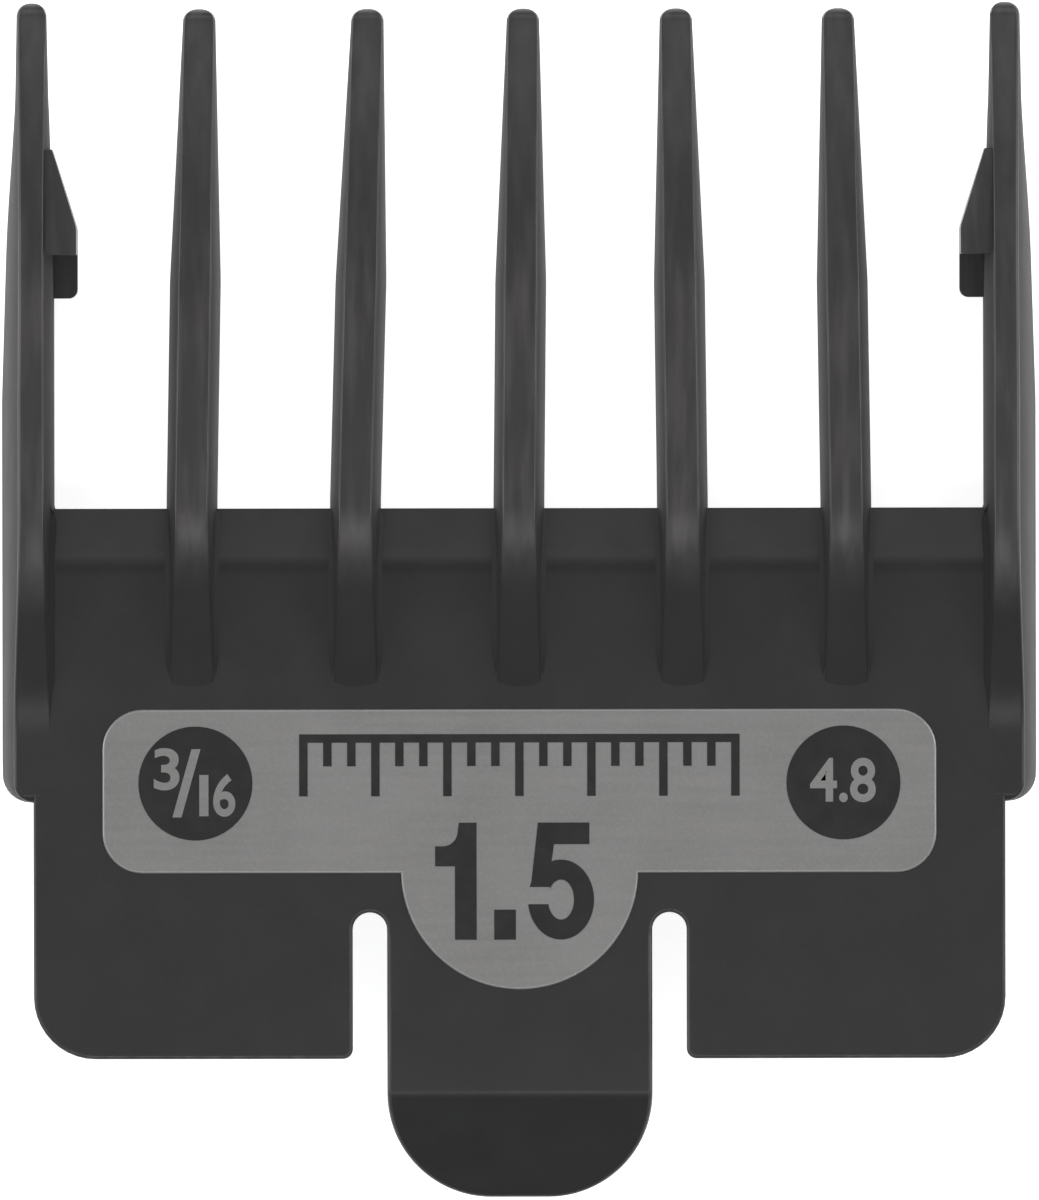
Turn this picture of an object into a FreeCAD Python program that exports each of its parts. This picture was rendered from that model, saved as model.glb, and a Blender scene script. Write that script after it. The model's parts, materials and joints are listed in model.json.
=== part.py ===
import FreeCAD, Part
import math
import os

# Clipper guard comb, size 1.5, lying label side up on its two cheek walls. Millimetres.
# X runs across the comb, +Y towards the tooth tips, +Z away from the clipper blade.
# The origin is at the middle of the comb, on the surface that it rests on.

# Overall and blade pocket
HALF_LENGTH = 29.9
SEAT_Z = 4.6  # the plane that the blade's underside sits on
CUT_LENGTH = 4.8  # the hair length that this size leaves
BLADE_TIP = 0.5  # a blade's own thickness at its tooth tips
CREST_Z = SEAT_Z + CUT_LENGTH - BLADE_TIP
HEEL_Y = -22.94  # where the blade's rear edge sits, and where the plate's wings end

# Plate
PLATE_T = 1.8
PLATE_TOP = SEAT_Z + PLATE_T
PLATE_HALF_W = 24.3
PLATE_FRONT = 4.6
BEVEL_END = 1.9  # the front bevel runs from here to PLATE_FRONT
FRONT_EDGE_T = 0.7
WING_CORNER_R = 3.1
SLOT_CORNER_R = 0.45

# Tongue, between two slots
TONGUE_HALF_W = 6.63
SLOT_W = 1.72
SLOT_TOP = -15.62
TONGUE_T = 1.3
TONGUE_UNDER = PLATE_TOP - TONGUE_T
ROOT_Y = SLOT_TOP - SLOT_W / 2
HINGE_Y = -20.5
HINGE_Z = PLATE_TOP - TONGUE_T / 2
HINGE_R = TONGUE_T / 2
HINGE_GAP = 0.05
BEND_Y = -24.78
BEND_ANGLE = 30.0
TAB_CORNER_R = 5.25

# Latch barb under the tongue
BARB_HALF_W = 4.5
HEEL_T = 2.0  # a blade's thickness at its rear edge
HEEL_GAP = 0.15
BARB_HOLD = 0.45  # how far the nose reaches under the blade
BARB_NOSE_T = 0.4
BARB_NOSE_DROP = 0.1  # the nose's upper side falls by this, so that the blade rides over it
BARB_LOW_Z = 1.5
BARB_FOOT_RUN = 0.7
BARB_BACK_RISE = 0.6
BARB_R = 0.25

# Inner teeth. They are wider at the seat plane than at the crest plane.
PITCH = 8.18
TOOTH_HALF_W = 1.28
TOOTH_CREST_HALF_W = 0.82
TOOTH_TIP_HALF_W = 0.8
TOOTH_TIP_CREST_HALF_W = 0.55
TOOTH_NOSE_SHARE = 0.65  # a tip's corner radius, as a share of its half width
INNER_TIP_Y = 29.6
TAPER_Y = 16.0  # teeth keep their full width up to here
TAPER_R = 60.0
LEAN_START = 5.0
MERGE_Y = -4.3  # where an inner tooth's crest runs out into the plate
ROOT_RUN = 1.0  # how far it goes on inside the plate

# How far each tooth's tip leans to the right. The moulding has shrunk towards its middle.
TIP_LEANS = {
    "left_tooth_2": 0.42,
    "left_tooth_1": 0.67,
    "middle_tooth": 0.25,
    "right_tooth_1": -0.3,
    "right_tooth_2": -0.37,
}

# The side outline that all teeth share
CREST_BEND_Y = 3.3
CREST_BEND_R = 9.0
NOSE_DROP_Y = 21.0
NOSE_DROP_R = 44.0
NOSE_TOP_Z = SEAT_Z + 1.12
NOSE_R = 0.5

# Rails, which are the outer teeth with the cheek walls below them
RAIL_IN = 23.3
RAIL_OUT = 25.95
RAIL_TIP_IN = 23.6
RAIL_TIP_OUT = 25.35
RAIL_TAPER_Y = 10.0
RAIL_TAPER_R = 200.0
RAIL_END_Y = -10.1
RAIL_END_R = 1.3
RAIL_END_TOP_R = 0.35
RAIL_BEND_Y = 2.0
RAIL_BEND_R = 15.0
RAIL_MERGE_Y = -5.5  # behind this the rail is level with the plate
OUTER_DRAFT = 0.95  # how far the outer side leans in, from the foot to the crest plane
INNER_DRAFT = 0.45  # how far the inner side leans out, from the seat plane to the crest plane
TIP_DRAFT_SHARE = 0.5
CHEEK_FRONT_FOOT_Y = 19.0
CHEEK_FRONT_Y = 25.0
CHEEK_FRONT_R = 6.0
CHEEK_HEEL_R = 2.2

# Front hooks, which hold the blade's front corners
HOOK_REACH = 1.2
HOOK_TIP_Y = 22.55
HOOK_FULL_Y = 18.65
HOOK_STOP_Y = 17.3
LIP_END_Y = 15.15
LIP_LOW_Z = 0.9
LIP_TOP_Z = 2.6
HOOK_TOP_Z = SEAT_Z + 3.0
HOOK_ROOT = 0.5  # how far a hook would reach into the rail that it grows from
HOOK_R = 1.0
LIP_R = 0.45

# Label, which lies on the plate
LABEL_HALF_W = 20.85
LABEL_TOP_Y = -5.45
LABEL_LOW_Y = -13.65
LABEL_CORNER_R = 2.0
LOBE_R = 5.93
LOBE_Y = -13.55
LABEL_T = 0.12

# How far a full round stops short of its limit, so that no edge has zero length
NEARLY = 0.001

# Print on the label
PRINT_T = 0.02
DISC_R = 2.85
DISC_X = 16.2
DISC_Y = -9.15
DIGIT_LOW_Y = -16.98
DIGIT_H = 5.85
DIGIT_STROKE = 1.08
ONE_X = -4.22
ONE_W = 2.07
FLAG_TOP = 4.67
FLAG_LOW = 3.67
FLAG_R = 0.75
DOT_X = -1.27
DOT_H = 1.5
FIVE_X = 0.42
BOWL_HALF_W = 1.65
BOWL_HALF_H = 2.0
BOWL_T = 1.0
BOWL_GAP = 0.86
STEM_LOW = 2.63
MARK_PITCH = 1.2
MARKS_PER_SIDE = 9
MARK_W = 0.42
MARK_TOP = -6.7
MARK_SHORT_LOW = -8.3
MARK_LONG_LOW = -9.8
LONG_MARK_EVERY = 3


def plan_at(z):
    """Places outline coordinates as X and Y at height z."""
    return lambda u, v: FreeCAD.Vector(u, v, z)


def side_at(x):
    """Places outline coordinates as Y and Z at a distance x across the comb."""
    return lambda u, v: FreeCAD.Vector(x, u, v)


def outline(corners, place):
    """A closed wire of straight runs. A corner is (u, v) or, to round it, (u, v, radius)."""
    starts, ends, mids = [], [], []
    count = len(corners)
    for i in range(count):
        u, v = corners[i][:2]
        radius = corners[i][2] if len(corners[i]) > 2 else 0.0
        ways = []
        for near in (corners[i - 1], corners[(i + 1) % count]):
            du, dv = near[0] - u, near[1] - v
            length = math.hypot(du, dv)
            ways.append((du / length, dv / length))
        (au, av), (bu, bv) = ways
        if radius <= 0:
            starts.append((u, v))
            ends.append((u, v))
            mids.append(None)
            continue
        half = math.acos(max(-1.0, min(1.0, au * bu + av * bv))) / 2
        run = radius / math.tan(half)
        mu, mv = au + bu, av + bv
        reach = (radius / math.sin(half) - radius) / math.hypot(mu, mv)
        starts.append((u + au * run, v + av * run))
        ends.append((u + bu * run, v + bv * run))
        mids.append((u + mu * reach, v + mv * reach))
    edges = []
    for i in range(count):
        if mids[i]:
            arc = Part.Arc(place(*starts[i]), place(*mids[i]), place(*ends[i]))
            edges.append(arc.toShape())
        run_end = starts[(i + 1) % count]
        if math.dist(ends[i], run_end) > 1e-6:
            edges.append(Part.makeLine(place(*ends[i]), place(*run_end)))
    return Part.Wire(edges)


def plan_prism(corners, low, high):
    """A plan outline extruded up from low to high."""
    face = Part.Face(outline(corners, plan_at(low)))
    return face.extrude(FreeCAD.Vector(0, 0, high - low))


def side_prism(corners, low, high):
    """A side outline, in Y and Z, extruded across the comb from low to high."""
    face = Part.Face(outline(corners, side_at(low)))
    return face.extrude(FreeCAD.Vector(high - low, 0, 0))


def drafted(low_corners, low, high_corners, high):
    """A solid whose plan outline changes evenly from one height to another."""
    wires = [outline(low_corners, plan_at(low)), outline(high_corners, plan_at(high))]
    return Part.makeLoft(wires, True, True)


def mirrored(shape):
    """The same solid on the other side of the comb."""
    return shape.mirror(FreeCAD.Vector(0, 0, 0), FreeCAD.Vector(1, 0, 0))


def label():
    """The foil label, a bar with a round lobe."""
    corners = [
        (-LABEL_HALF_W, LABEL_LOW_Y, LABEL_CORNER_R),
        (LABEL_HALF_W, LABEL_LOW_Y, LABEL_CORNER_R),
        (LABEL_HALF_W, LABEL_TOP_Y, LABEL_CORNER_R),
        (-LABEL_HALF_W, LABEL_TOP_Y, LABEL_CORNER_R),
    ]
    bar = plan_prism(corners, PLATE_TOP, PLATE_TOP + LABEL_T)
    lobe = Part.makeCylinder(LOBE_R, LABEL_T, FreeCAD.Vector(0, LOBE_Y, PLATE_TOP))
    return bar.fuse(lobe).removeSplitter()


def plate_slab():
    """The plate with its wings, slots and front bevel, before its neighbours are cut out of it."""
    slot_out = TONGUE_HALF_W + SLOT_W
    round_end = SLOT_W / 2 - NEARLY
    right = [
        (PLATE_HALF_W, PLATE_FRONT),
        (PLATE_HALF_W, HEEL_Y, WING_CORNER_R),
        (slot_out, HEEL_Y, SLOT_CORNER_R),
        (slot_out, SLOT_TOP, round_end),
        (TONGUE_HALF_W, SLOT_TOP, round_end),
        (TONGUE_HALF_W, ROOT_Y),
    ]
    left = [(-c[0],) + c[1:] for c in reversed(right)]
    slab = plan_prism(right + left, SEAT_Z, PLATE_TOP)
    bevel = [
        (BEVEL_END, PLATE_TOP),
        (PLATE_FRONT + 1, PLATE_TOP),
        (PLATE_FRONT + 1, SEAT_Z + FRONT_EDGE_T),
        (PLATE_FRONT, SEAT_Z + FRONT_EDGE_T),
    ]
    return slab.cut(side_prism(bevel, -PLATE_HALF_W - 1, PLATE_HALF_W + 1))


def tongue_root():
    """The fixed first third of the tongue, with a round socket for the part that flexes."""
    corners = [
        (-TONGUE_HALF_W, HINGE_Y),
        (TONGUE_HALF_W, HINGE_Y),
        (TONGUE_HALF_W, ROOT_Y),
        (-TONGUE_HALF_W, ROOT_Y),
    ]
    slab = plan_prism(corners, TONGUE_UNDER, PLATE_TOP)
    start = FreeCAD.Vector(-TONGUE_HALF_W - 1, HINGE_Y, HINGE_Z)
    across = FreeCAD.Vector(1, 0, 0)
    socket = Part.makeCylinder(HINGE_R + HINGE_GAP, 2 * TONGUE_HALF_W + 2, start, across)
    return slab.cut(socket)


def spring_tongue():
    """The flexing part of the tongue, from its round root to the bend."""
    inner_bend = BEND_Y + TONGUE_T * math.tan(math.radians(BEND_ANGLE / 2))
    profile = [
        (HINGE_Y, TONGUE_UNDER),
        (HINGE_Y, PLATE_TOP),
        (BEND_Y, PLATE_TOP),
        (inner_bend, TONGUE_UNDER),
    ]
    slab = side_prism(profile, -TONGUE_HALF_W, TONGUE_HALF_W)
    start = FreeCAD.Vector(-TONGUE_HALF_W, HINGE_Y, HINGE_Z)
    root = Part.makeCylinder(HINGE_R, 2 * TONGUE_HALF_W, start, FreeCAD.Vector(1, 0, 0))
    return slab.fuse(root).removeSplitter()


def thumb_tab():
    """The bent end of the tongue, round in plan, which a thumb lifts."""
    bend = math.radians(BEND_ANGLE)
    inner_bend = BEND_Y + TONGUE_T * math.tan(bend / 2)
    drop = (BEND_Y + HALF_LENGTH) * math.tan(bend)
    profile = [
        (BEND_Y, PLATE_TOP),
        (-HALF_LENGTH, PLATE_TOP - drop),
        (-HALF_LENGTH, PLATE_TOP - drop - TONGUE_T / math.cos(bend)),
        (inner_bend, TONGUE_UNDER),
    ]
    slab = side_prism(profile, -TONGUE_HALF_W, TONGUE_HALF_W)
    plan = [
        (-TONGUE_HALF_W, -HALF_LENGTH, TAB_CORNER_R),
        (TONGUE_HALF_W, -HALF_LENGTH, TAB_CORNER_R),
        (TONGUE_HALF_W, BEND_Y + 1),
        (-TONGUE_HALF_W, BEND_Y + 1),
    ]
    return slab.common(plan_prism(plan, 0, PLATE_TOP))


def latch_barb():
    """The hook under the tongue. Its nose holds the blade's rear edge from below."""
    face_y = HEEL_Y - HEEL_GAP
    catch_z = SEAT_Z - HEEL_T
    nose_y = HEEL_Y + BARB_HOLD
    back_y = BEND_Y + TONGUE_T * math.tan(math.radians(BEND_ANGLE / 2))
    profile = [
        (face_y, TONGUE_UNDER),
        (face_y, catch_z),
        (nose_y, catch_z - BARB_NOSE_DROP),
        (nose_y, catch_z - BARB_NOSE_T),
        (face_y - BARB_FOOT_RUN, BARB_LOW_Z, BARB_R),
        (back_y, BARB_LOW_Z + BARB_BACK_RISE, BARB_R),
        (back_y, TONGUE_UNDER),
    ]
    return side_prism(profile, -BARB_HALF_W, BARB_HALF_W)


def crest_profile(tip_y, bend, rear):
    """A tooth's side outline: flat under the blade, domed towards the tip.

    bend is the (y, z, radius) corner where the crest turns down, and rear closes the outline.
    """
    front = [
        (tip_y, SEAT_Z, NOSE_R),
        (tip_y, NOSE_TOP_Z, NOSE_R),
        (NOSE_DROP_Y, CREST_Z, NOSE_DROP_R),
    ]
    return front + [bend] + rear


def inner_tooth(centre_x, lean, slab):
    """One of the teeth that stand on the plate. Its tip leans to the right by lean."""
    mid_x = centre_x + lean * (TAPER_Y - LEAN_START) / (INNER_TIP_Y - LEAN_START)
    tip_x = centre_x + lean
    start_y = MERGE_Y - ROOT_RUN

    def plan(half_w, tip_half_w):
        nose_r = tip_half_w * TOOTH_NOSE_SHARE
        return [
            (centre_x - half_w, start_y),
            (centre_x + half_w, start_y),
            (centre_x + half_w, LEAN_START),
            (mid_x + half_w, TAPER_Y, TAPER_R),
            (tip_x + tip_half_w, INNER_TIP_Y, nose_r),
            (tip_x - tip_half_w, INNER_TIP_Y, nose_r),
            (mid_x - half_w, TAPER_Y, TAPER_R),
            (centre_x - half_w, LEAN_START),
        ]

    body = drafted(
        plan(TOOTH_HALF_W, TOOTH_TIP_HALF_W),
        SEAT_Z,
        plan(TOOTH_CREST_HALF_W, TOOTH_TIP_CREST_HALF_W),
        CREST_Z,
    )
    slope = (CREST_Z - PLATE_TOP) / (CREST_BEND_Y - MERGE_Y)
    rear = [(start_y, PLATE_TOP - slope * ROOT_RUN), (start_y, SEAT_Z)]
    side = crest_profile(INNER_TIP_Y, (CREST_BEND_Y, CREST_Z, CREST_BEND_R), rear)
    reach = PITCH / 2
    return body.common(side_prism(side, centre_x - reach, centre_x + reach)).cut(slab)


def leaning_tooth(centre_x, lean, slab):
    """An inner tooth that leans either way. One that leans left is drawn leaning right and mirrored."""
    if lean < 0:
        return mirrored(inner_tooth(-centre_x, -lean, slab))
    return inner_tooth(centre_x, lean, slab)


def rail_plan(z):
    """The plan outline of the right rail at height z."""
    out_shift = OUTER_DRAFT * z / CREST_Z
    in_shift = INNER_DRAFT * max(0.0, z - SEAT_Z) / (CREST_Z - SEAT_Z)
    outer, inner = RAIL_OUT - out_shift, RAIL_IN + in_shift
    return [
        (inner, RAIL_END_Y),
        (outer, RAIL_END_Y, RAIL_END_R - out_shift / 2),
        (outer, RAIL_TAPER_Y, RAIL_TAPER_R),
        (RAIL_TIP_OUT - out_shift * TIP_DRAFT_SHARE, HALF_LENGTH, NOSE_R),
        (RAIL_TIP_IN + in_shift * TIP_DRAFT_SHARE, HALF_LENGTH, NOSE_R),
        (inner, TAPER_Y, RAIL_TAPER_R),
    ]


def outer_tooth():
    """The right outer tooth, from the seat plane up, which runs back beside the plate."""
    body = drafted(rail_plan(SEAT_Z), SEAT_Z, rail_plan(CREST_Z), CREST_Z)
    rear = [
        (RAIL_MERGE_Y, PLATE_TOP, RAIL_BEND_R / 2),
        (RAIL_END_Y, PLATE_TOP, RAIL_END_TOP_R),
        (RAIL_END_Y, SEAT_Z),
    ]
    side = crest_profile(HALF_LENGTH, (RAIL_BEND_Y, CREST_Z, RAIL_BEND_R), rear)
    return body.common(side_prism(side, RAIL_IN - 1, RAIL_OUT + 1))


def cheek_wall():
    """The right cheek wall, from the resting surface up to the seat plane, beside the blade."""
    body = drafted(rail_plan(0), 0, rail_plan(SEAT_Z), SEAT_Z)
    side = [
        (RAIL_END_Y, SEAT_Z),
        (RAIL_END_Y, 0, CHEEK_HEEL_R),
        (CHEEK_FRONT_FOOT_Y, 0, CHEEK_FRONT_R),
        (CHEEK_FRONT_Y, SEAT_Z),
    ]
    return body.common(side_prism(side, RAIL_IN - 1, RAIL_OUT + 1))


def front_hook(tooth, cheek):
    """The right front hook: a ramped stop for the blade's corner and a lip under that corner."""
    inner = RAIL_IN - HOOK_REACH
    behind = RAIL_IN + HOOK_ROOT
    stop = [
        (behind, HOOK_STOP_Y),
        (behind, HOOK_TIP_Y),
        (RAIL_IN, HOOK_TIP_Y),
        (inner, HOOK_FULL_Y, HOOK_R),
        (inner, HOOK_STOP_Y),
    ]
    lip = [
        (behind, LIP_END_Y),
        (behind, HOOK_STOP_Y),
        (inner, HOOK_STOP_Y),
        (inner, LIP_END_Y, LIP_R),
    ]
    hook = plan_prism(stop, LIP_LOW_Z, HOOK_TOP_Z).fuse(plan_prism(lip, LIP_LOW_Z, LIP_TOP_Z))
    ramp = [
        (LIP_END_Y - 1, 0),
        (CHEEK_FRONT_FOOT_Y, 0),
        (CHEEK_FRONT_Y, SEAT_Z),
        (CHEEK_FRONT_Y, CREST_Z),
        (LIP_END_Y - 1, CREST_Z),
    ]
    hook = hook.common(side_prism(ramp, inner - 1, behind + 1))
    return hook.cut(tooth).cut(cheek).removeSplitter()


def print_range():
    """The heights between which the print stands on the label."""
    low = PLATE_TOP + LABEL_T
    return low, low + PRINT_T


def size_disc():
    """The right printed disc."""
    low, high = print_range()
    return Part.makeCylinder(DISC_R, high - low, FreeCAD.Vector(DISC_X, DISC_Y, low))


def glyph(corners, x, low, high):
    """A printed shape whose outline starts from the digits' base line at x."""
    return plan_prism([(x + c[0], DIGIT_LOW_Y + c[1]) + c[2:] for c in corners], low, high)


def digit_one():
    """The outline of a 1, from its lower left corner."""
    stem_left = ONE_W - DIGIT_STROKE
    return [
        (ONE_W, 0),
        (ONE_W, DIGIT_H),
        (stem_left + 0.2, DIGIT_H),
        (stem_left + 0.05, FLAG_TOP, FLAG_R),
        (0, FLAG_TOP),
        (0, FLAG_LOW),
        (stem_left, FLAG_LOW),
        (stem_left, 0),
    ]


def dot():
    """The outline of a point, from its lower left corner."""
    return [(0, 0), (DIGIT_STROKE, 0), (DIGIT_STROKE, DOT_H), (0, DOT_H)]


def oval(half_w, half_h, low, high):
    """An upright oval in the middle of the 5's bowl."""
    centre = FreeCAD.Vector(FIVE_X + BOWL_HALF_W, DIGIT_LOW_Y + BOWL_HALF_H, low)
    top = centre + FreeCAD.Vector(0, half_h, 0)
    side = centre + FreeCAD.Vector(half_w, 0, 0)
    edge = Part.Ellipse(top, side, centre).toShape()
    return Part.Face(Part.Wire(edge)).extrude(FreeCAD.Vector(0, 0, high - low))


def digit_five(low, high):
    """A printed 5: a bar and a leaning stem above an open oval bowl."""
    bowl = oval(BOWL_HALF_W, BOWL_HALF_H, low, high)
    bowl = bowl.cut(oval(BOWL_HALF_W - BOWL_T, BOWL_HALF_H - BOWL_T, low, high))
    gap = [(-1, STEM_LOW), (-1, STEM_LOW - BOWL_GAP), (1.1, STEM_LOW - BOWL_GAP), (1.1, STEM_LOW)]
    stem = [
        (0.5, DIGIT_H),
        (3.07, DIGIT_H),
        (3.07, DIGIT_H - DIGIT_STROKE),
        (1.3, DIGIT_H - DIGIT_STROKE),
        (1.14, 3.62),
        (1.03, STEM_LOW),
        (0.14, STEM_LOW),
    ]
    bowl = bowl.cut(glyph(gap, FIVE_X, low, high))
    return bowl.fuse(glyph(stem, FIVE_X, low, high)).removeSplitter()


def size_number():
    """The printed size, 1.5, as three solids."""
    low, high = print_range()
    one = glyph(digit_one(), ONE_X, low, high)
    point = glyph(dot(), DOT_X, low, high)
    return Part.makeCompound([one, point, digit_five(low, high)])


def scale_marks():
    """A plain row of printed ticks along the label's upper edge."""
    low, high = print_range()
    reach = MARK_PITCH * MARKS_PER_SIDE + MARK_W / 2
    baseline_low = MARK_TOP - MARK_W
    marks = Part.makeBox(2 * reach, MARK_W, high - low, FreeCAD.Vector(-reach, baseline_low, low))
    for i in range(-MARKS_PER_SIDE, MARKS_PER_SIDE + 1):
        end = MARK_LONG_LOW if i % LONG_MARK_EVERY == 0 else MARK_SHORT_LOW
        corner = FreeCAD.Vector(i * MARK_PITCH - MARK_W / 2, end, low)
        marks = marks.fuse(Part.makeBox(MARK_W, MARK_TOP - end, high - low, corner))
    return marks.removeSplitter()


def build():
    """Every node's solid, by name."""
    nodes = {}
    slab = plate_slab()
    tooth, cheek = outer_tooth(), cheek_wall()
    hook = front_hook(tooth, cheek)
    for side, place in (("right", lambda s: s), ("left", mirrored)):
        nodes[side + "_outer_tooth"] = place(tooth)
        nodes[side + "_cheek_wall"] = place(cheek)
        nodes[side + "_front_hook"] = place(hook)
    nodes["base_plate"] = slab.cut(tooth).cut(mirrored(tooth))
    nodes["tongue_root"] = tongue_root()
    nodes["label"] = label()
    first_x = -PITCH * (len(TIP_LEANS) - 1) / 2
    for i, (name, lean) in enumerate(TIP_LEANS.items()):
        nodes[name] = leaning_tooth(first_x + PITCH * i, lean, slab)
    nodes["right_size_disc"] = size_disc()
    nodes["left_size_disc"] = mirrored(size_disc())
    nodes["size_number"] = size_number()
    nodes["scale_marks"] = scale_marks()
    nodes["spring_tongue"] = spring_tongue()
    nodes["latch_barb"] = latch_barb()
    nodes["thumb_tab"] = thumb_tab()
    return nodes


def main():
    os.makedirs("parts", exist_ok=True)
    for name, shape in build().items():
        solids = shape.Solids
        whole = solids[0] if len(solids) == 1 else Part.makeCompound(solids)
        print(name, len(solids), "solid", whole.isValid(), round(whole.Volume, 2))
        whole.exportStep(os.path.join("parts", name + ".step"))


main()
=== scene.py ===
import json
import math

import bmesh
import bpy
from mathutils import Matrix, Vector


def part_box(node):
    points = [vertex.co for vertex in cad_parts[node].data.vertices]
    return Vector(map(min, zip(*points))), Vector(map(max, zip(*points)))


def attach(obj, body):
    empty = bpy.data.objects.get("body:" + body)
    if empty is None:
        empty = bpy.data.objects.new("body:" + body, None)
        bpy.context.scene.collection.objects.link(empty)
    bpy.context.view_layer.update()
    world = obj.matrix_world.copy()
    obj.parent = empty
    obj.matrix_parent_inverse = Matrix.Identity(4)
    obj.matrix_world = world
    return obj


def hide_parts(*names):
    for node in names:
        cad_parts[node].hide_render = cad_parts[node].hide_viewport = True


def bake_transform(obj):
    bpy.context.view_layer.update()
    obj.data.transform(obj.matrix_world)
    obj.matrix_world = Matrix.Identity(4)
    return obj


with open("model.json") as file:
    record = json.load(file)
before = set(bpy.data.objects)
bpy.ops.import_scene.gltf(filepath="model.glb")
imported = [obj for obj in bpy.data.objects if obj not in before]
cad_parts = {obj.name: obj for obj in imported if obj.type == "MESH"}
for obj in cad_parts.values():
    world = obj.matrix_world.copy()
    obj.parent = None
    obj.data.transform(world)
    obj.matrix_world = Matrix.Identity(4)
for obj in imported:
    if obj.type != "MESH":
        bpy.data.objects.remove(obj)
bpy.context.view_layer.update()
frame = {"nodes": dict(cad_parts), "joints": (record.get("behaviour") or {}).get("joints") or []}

# A black moulded clipper guard comb with a foil size label, seen from straight above its label.
# Lengths in this file are in millimetres. M turns them into Blender's metres.
M = 0.001

END_BAND = 0.2  # vertices this near to a node's end belong to that end


def node_box(name):
    """Lowest and highest corner of a CAD node, in millimetres."""
    low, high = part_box(name)
    return low / M, high / M


def node_end_x(name, pick):
    """Middle X of a CAD node at its lowest (min) or highest (max) Y, in millimetres."""
    verts = [v.co / M for v in frame["nodes"][name].data.vertices]
    end = pick(v.y for v in verts)
    xs = [v.x for v in verts if abs(v.y - end) < END_BAND]
    return (min(xs) + max(xs)) / 2


# Planes and edges that the CAD model sets
plate_low, plate_high = node_box("base_plate")
tooth_high = node_box("middle_tooth")[1]
rail_low, rail_high = node_box("right_outer_tooth")
cheek_high = node_box("right_cheek_wall")[1]
root_high = node_box("tongue_root")[1]
tongue_low, tongue_high = node_box("spring_tongue")
tab_low = node_box("thumb_tab")[0]
label_low, label_high = node_box("label")

SEAT_Z = plate_low.z
PLATE_TOP = plate_high.z
PLATE_FRONT = plate_high.y
HEEL_Y = plate_low.y
PLATE_HALF_W = plate_high.x
CREST_Z = tooth_high.z
INNER_TIP_Y = tooth_high.y
TIP_Y = rail_high.y
RAIL_OUT = cheek_high.x
RAIL_END_Y = rail_low.y
CHEEK_FRONT_Y = cheek_high.y
TONGUE_HALF_W = tongue_high.x
TONGUE_UNDER = tongue_low.z
BEND_Y = tongue_low.y
ROOT_Y = root_high.y
TAB_END_Y = tab_low.y
HINGE_Y = (Vector(frame["joints"][0]["pos_m"]) / M).y

# Front bevel of the plate
BEVEL_END = 1.9  # where the bevel meets the level face
BEVEL_R = 3.0
BEVEL_CUT_REACH = 0.9  # how far the plate is finely divided, to each side of that line
BEVEL_CUT_GAP = 0.15
BEVEL_LOW_SHARE = 0.375  # share of the plate's thickness that the bevel leaves as it is
FRONT_EDGE_T = 0.7
PLATE_EDGE_R = 0.16

# Slots on both sides of the tongue
SLOT_W = 1.72
WING_CORNER_R = 3.1
SLOT_CORNER_R = 0.5

# Inner teeth, from the seat plane to the crest plane
TOOTH_HALF_W = 1.28
TOOTH_CREST_HALF_W = 0.82
TOOTH_TIP_HALF_W = 0.8
TOOTH_TIP_CREST_HALF_W = 0.55
TOOTH_TIP_R = 0.55
TOOTH_FOOT_R = 0.14
TOOTH_FOOT_RISE = 0.2  # keeps a tooth's foot inside the plate, above its underside
TAPER_Y = 16.0
LEAN_START = 5.0
MERGE_Y = -4.3
ROOT_RUN = 0.6  # how far a tooth goes on inside the plate

# The side outline that all teeth share
CREST_BEND_Y = 3.3
CREST_BEND_R = 9.0
NOSE_DROP_Y = 21.0
NOSE_DROP_R = 44.0
NOSE_TOP_Z = SEAT_Z + 1.12

# Small roundings of teeth and rails
CREST_EDGE_R = 0.13
CROWN_DROP = 0.05  # how much lower the crest's edges are than its middle
RAIL_EDGE_R = 0.22
FLARE_R = 0.28  # the fillet where a side meets the plate
FLARE_HEIGHT_SHARE = 0.55  # the most of a side's height that its fillet takes
FLARE_FADE_RUN = 0.5

# wear_and_painted_light is 1 where the nylon is painted paler, partly as rubbed wear and partly as a
# painted highlight, and 0 where it isn't.
# Down to -1 it is matt and painted lighter as a painted fill light on walls, and below -1 it is rougher
# with less of that painted light.
FOOT_WEAR = 0.3
WALL_MATT_AND_PAINTED_LIGHT = -0.9
WALL_TOP_MATT_AND_PAINTED_LIGHT = -2.2
CREST_WEAR_AND_HIGHLIGHT_LEAD = 2.8  # how far behind its bend a crest starts to be rubbed and painted with a highlight
CREST_WEAR_AND_HIGHLIGHT_RUN = 2.5
# The dome of a crest gets less of the rubbed colour and its painted highlight
DOME_START_Y = 15.0
DOME_RUN = 5.0
DOME_WEAR_AND_HIGHLIGHT = 0.45
RIM_WEAR_AND_HIGHLIGHT_SHARE = 0.8  # share of a rim's rounding that is rubbed, and on the label painted as a highlight

# Rails, which are the outer teeth with the cheek walls below them
RAIL_IN = 23.3
RAIL_TIP_IN = 23.6
RAIL_TIP_OUT = 25.35
RAIL_TIP_R = 0.6
RAIL_FOOT_R = 0.35
RAIL_TAPER_Y = 10.0
RAIL_END_R = 1.3
RAIL_END_TOP_R = 0.35
RAIL_BEND_Y = 2.0
RAIL_BEND_R = 15.0
RAIL_MERGE_Y = -5.5
RAIL_SINK = 0.004  # how far the level end of a rail lies below the plate's face
OUTER_DRAFT = 0.95
INNER_DRAFT = 0.45
TIP_DRAFT_SHARE = 0.5
CHEEK_FRONT_FOOT_Y = 19.0
CHEEK_FRONT_R = 6.0
CHEEK_NOSE_R = 2.0
CHEEK_HEEL_R = 2.2
RAIL_LAP = 0.4  # how far the plate goes into a rail
RAIL_LAP_END_Y = RAIL_END_Y + RAIL_END_TOP_R

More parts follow.
